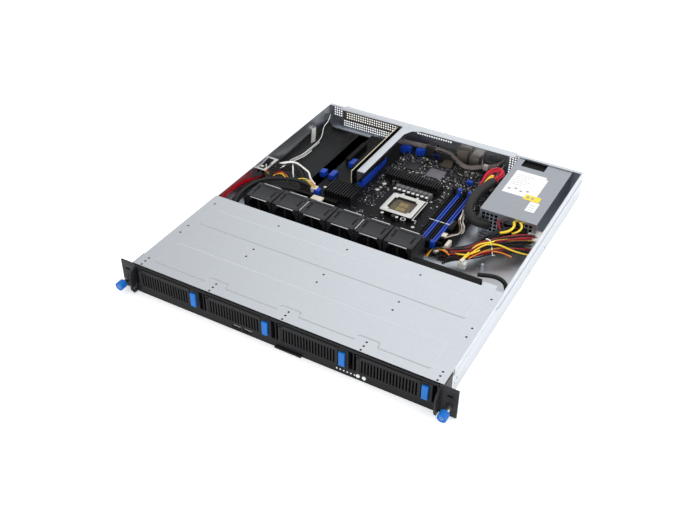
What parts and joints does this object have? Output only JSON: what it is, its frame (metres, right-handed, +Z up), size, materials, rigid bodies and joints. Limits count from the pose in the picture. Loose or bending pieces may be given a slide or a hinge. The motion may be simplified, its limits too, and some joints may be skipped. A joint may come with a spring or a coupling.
{
  "type": "1u rack server",
  "caption": "Rack server, one unit tall, rear lid off: drive trays with lever grilles in front, a row of fans, motherboard with open processor socket, riser and power supply.",
  "frame": {"origin": "middle of the underside of the chassis floor, halfway between the ears' rack face and the back of the rear wall", "axes": "+X to the right seen from the front, +Y from the front to the rear, +Z up"},
  "size_m": [0.4826, 0.5426, 0.0444],
  "materials": {
    "zinc_steel": "galvanised sheet, satin",
    "black_steel": "satin black paint",
    "black_plastic": "fine matt",
    "blue_plastic": "satin",
    "plain_steel": "plated",
    "circuit_board": "black solder mask, satin",
    "board_component": "moulded black",
    "dark_aluminium": "black anodised",
    "tan_steel": "yellowish passivated sheet",
    "black_sheet": "thin film, satin",
    "black_cable": "matt",
    "red_cable": "satin",
    "mixed_cable": "satin, wires of several colours",
    "white_plastic": "satin"
  },
  "bodies": {
    "server": {"chassis_pan": "zinc_steel", "front_cover": "zinc_steel", "riser_bracket": "zinc_steel", "psu_case": "zinc_steel", "lid_switch": "zinc_steel", "rack_ear_left": "black_steel", "rack_ear_right": "black_steel", "bay_guides": "black_steel", "fan_cage": "black_steel", "front_bezel": "black_plastic", "fan_frames": "black_plastic", "dimm_slots": "black_plastic", "rear_ports": "plain_steel", "motherboard": "circuit_board", "riser_board": "circuit_board", "backplane": "circuit_board", "front_panel_board": "circuit_board", "board_components": "board_component", "cpu_socket": "board_component", "heatsinks": "dark_aluminium", "slot_cover": "tan_steel", "insulator_sheet": "black_sheet", "power_sleeve": "black_cable", "signal_cables": "black_cable", "sata_cables": "red_cable", "drive_harness": "mixed_cable", "cable_plugs": "white_plastic"},
    "tray_1": {"tray_1": "black_plastic"},
    "lever_1": {"lever_1": "black_plastic"},
    "latch_button_1": {"latch_button_1": "blue_plastic"},
    "tray_2": {"tray_2": "black_plastic"},
    "lever_2": {"lever_2": "black_plastic"},
    "latch_button_2": {"latch_button_2": "blue_plastic"},
    "tray_3": {"tray_3": "black_plastic"},
    "lever_3": {"lever_3": "black_plastic"},
    "latch_button_3": {"latch_button_3": "blue_plastic"},
    "tray_4": {"tray_4": "black_plastic"},
    "lever_4": {"lever_4": "black_plastic"},
    "latch_button_4": {"latch_button_4": "blue_plastic"},
    "power_button": {"power_button": "white_plastic"},
    "locate_button": {"locate_button": "white_plastic"},
    "asset_tag": {"asset_tag": "black_plastic"},
    "thumb_sleeve_left": {"thumb_sleeve_left": "plain_steel"},
    "thumb_screw_left": {"thumb_screw_left": "blue_plastic"},
    "thumb_sleeve_right": {"thumb_sleeve_right": "plain_steel"},
    "thumb_screw_right": {"thumb_screw_right": "blue_plastic"},
    "fan_rotor_1": {"fan_rotor_1": "black_plastic"},
    "fan_rotor_2": {"fan_rotor_2": "black_plastic"},
    "fan_rotor_3": {"fan_rotor_3": "black_plastic"},
    "fan_rotor_4": {"fan_rotor_4": "black_plastic"},
    "fan_rotor_5": {"fan_rotor_5": "black_plastic"},
    "fan_rotor_6": {"fan_rotor_6": "black_plastic"},
    "psu_fan_rotor": {"psu_fan_rotor": "black_plastic"},
    "load_plate": {"load_plate": "zinc_steel"},
    "load_lever": {"load_lever": "zinc_steel"},
    "dimm_latch_1": {"dimm_latch_1": "black_plastic"},
    "dimm_latch_2": {"dimm_latch_2": "blue_plastic"},
    "dimm_latch_3": {"dimm_latch_3": "black_plastic"},
    "dimm_latch_4": {"dimm_latch_4": "blue_plastic"},
    "lid_switch_lever": {"lid_switch_lever": "black_plastic"}
  },
  "joints": [
    {"name": "tray_1_slide", "type": "slide", "parent": "server", "child": "tray_1", "axis": [0, -1, 0], "range_m": [0, 0.16]},
    {"name": "lever_1_swing", "type": "hinge", "parent": "tray_1", "child": "lever_1", "pos_m": [-0.2098, -0.2586, 0.027], "axis": [0, 0, -1], "range_deg": [0, 68]},
    {"name": "latch_button_1_press", "type": "slide", "parent": "tray_1", "child": "latch_button_1", "axis": [0, 1, 0], "range_m": [0, 0.002], "stiffness_N_per_m": 400},
    {"name": "tray_2_slide", "type": "slide", "parent": "server", "child": "tray_2", "axis": [0, -1, 0], "range_m": [0, 0.16]},
    {"name": "lever_2_swing", "type": "hinge", "parent": "tray_2", "child": "lever_2", "pos_m": [-0.1015, -0.2586, 0.027], "axis": [0, 0, -1], "range_deg": [0, 68]},
    {"name": "latch_button_2_press", "type": "slide", "parent": "tray_2", "child": "latch_button_2", "axis": [0, 1, 0], "range_m": [0, 0.002], "stiffness_N_per_m": 400},
    {"name": "tray_3_slide", "type": "slide", "parent": "server", "child": "tray_3", "axis": [0, -1, 0], "range_m": [0, 0.16]},
    {"name": "lever_3_swing", "type": "hinge", "parent": "tray_3", "child": "lever_3", "pos_m": [0.0068, -0.2586, 0.027], "axis": [0, 0, -1], "range_deg": [0, 68]},
    {"name": "latch_button_3_press", "type": "slide", "parent": "tray_3", "child": "latch_button_3", "axis": [0, 1, 0], "range_m": [0, 0.002], "stiffness_N_per_m": 400},
    {"name": "tray_4_slide", "type": "slide", "parent": "server", "child": "tray_4", "axis": [0, -1, 0], "range_m": [0, 0.16]},
    {"name": "lever_4_swing", "type": "hinge", "parent": "tray_4", "child": "lever_4", "pos_m": [0.1151, -0.2586, 0.027], "axis": [0, 0, -1], "range_deg": [0, 68]},
    {"name": "latch_button_4_press", "type": "slide", "parent": "tray_4", "child": "latch_button_4", "axis": [0, 1, 0], "range_m": [0, 0.002], "stiffness_N_per_m": 400},
    {"name": "power_button_press", "type": "slide", "parent": "server", "child": "power_button", "axis": [0, 1, 0], "range_m": [0, 0.0008], "stiffness_N_per_m": 400},
    {"name": "locate_button_press", "type": "slide", "parent": "server", "child": "locate_button", "axis": [0, 1, 0], "range_m": [0, 0.0008], "stiffness_N_per_m": 400},
    {"name": "asset_tag_slide", "type": "slide", "parent": "server", "child": "asset_tag", "axis": [0, -1, 0], "range_m": [0, 0.038]},
    {"name": "thumb_sleeve_left_push", "type": "slide", "parent": "server", "child": "thumb_sleeve_left", "axis": [0, 1, 0], "range_m": [0, 0.0065], "stiffness_N_per_m": 200},
    {"name": "thumb_screw_left_turn", "type": "hinge", "parent": "thumb_sleeve_left", "child": "thumb_screw_left", "pos_m": [-0.2315, -0.2675, 0.0155], "axis": [0, 1, 0], "continuous": true},
    {"name": "thumb_sleeve_right_push", "type": "slide", "parent": "server", "child": "thumb_sleeve_right", "axis": [0, 1, 0], "range_m": [0, 0.0065], "stiffness_N_per_m": 200},
    {"name": "thumb_screw_right_turn", "type": "hinge", "parent": "thumb_sleeve_right", "child": "thumb_screw_right", "pos_m": [0.2315, -0.2675, 0.0155], "axis": [0, 1, 0], "continuous": true},
    {"name": "fan_rotor_1_spin", "type": "hinge", "parent": "server", "child": "fan_rotor_1", "pos_m": [-0.1679, -0.028, 0.0211], "axis": [0, 1, 0], "continuous": true},
    {"name": "fan_rotor_2_spin", "type": "hinge", "parent": "server", "child": "fan_rotor_2", "pos_m": [-0.1228, -0.028, 0.0211], "axis": [0, 1, 0], "continuous": true},
    {"name": "fan_rotor_3_spin", "type": "hinge", "parent": "server", "child": "fan_rotor_3", "pos_m": [-0.0777, -0.028, 0.0211], "axis": [0, 1, 0], "continuous": true},
    {"name": "fan_rotor_4_spin", "type": "hinge", "parent": "server", "child": "fan_rotor_4", "pos_m": [-0.0326, -0.028, 0.0211], "axis": [0, 1, 0], "continuous": true},
    {"name": "fan_rotor_5_spin", "type": "hinge", "parent": "server", "child": "fan_rotor_5", "pos_m": [0.0125, -0.028, 0.0211], "axis": [0, 1, 0], "continuous": true},
    {"name": "fan_rotor_6_spin", "type": "hinge", "parent": "server", "child": "fan_rotor_6", "pos_m": [0.0576, -0.028, 0.0211], "axis": [0, 1, 0], "continuous": true},
    {"name": "psu_fan_rotor_spin", "type": "hinge", "parent": "server", "child": "psu_fan_rotor", "pos_m": [0.18, 0.245, 0.0212], "axis": [0, 1, 0], "continuous": true},
    {"name": "load_plate_swing", "type": "hinge", "parent": "server", "child": "load_plate", "pos_m": [0.0062, 0.1035, 0.014], "axis": [-1, 0, 0], "range_deg": [0, 110]},
    {"name": "load_lever_swing", "type": "hinge", "parent": "server", "child": "load_lever", "pos_m": [0.0062, 0.1035, 0.014], "axis": [-1, 0, 0], "range_deg": [0, 130]},
    {"name": "dimm_latch_1_tilt", "type": "hinge", "parent": "server", "child": "dimm_latch_1", "pos_m": [0.0592, 0.1455, 0.0122], "axis": [-1, 0, 0], "range_deg": [0, 28]},
    {"name": "dimm_latch_2_tilt", "type": "hinge", "parent": "server", "child": "dimm_latch_2", "pos_m": [0.0676, 0.1455, 0.0122], "axis": [-1, 0, 0], "range_deg": [0, 28]},
    {"name": "dimm_latch_3_tilt", "type": "hinge", "parent": "server", "child": "dimm_latch_3", "pos_m": [0.076, 0.1455, 0.0122], "axis": [-1, 0, 0], "range_deg": [0, 28]},
    {"name": "dimm_latch_4_tilt", "type": "hinge", "parent": "server", "child": "dimm_latch_4", "pos_m": [0.0844, 0.1455, 0.0122], "axis": [-1, 0, 0], "range_deg": [0, 28]},
    {"name": "lid_switch_lever_press", "type": "hinge", "parent": "server", "child": "lid_switch_lever", "pos_m": [-0.2123, 0.038, 0.0395], "axis": [-1, 0, 0], "range_deg": [0, 12], "stiffness_Nm_per_rad": 0.02}
  ]
}
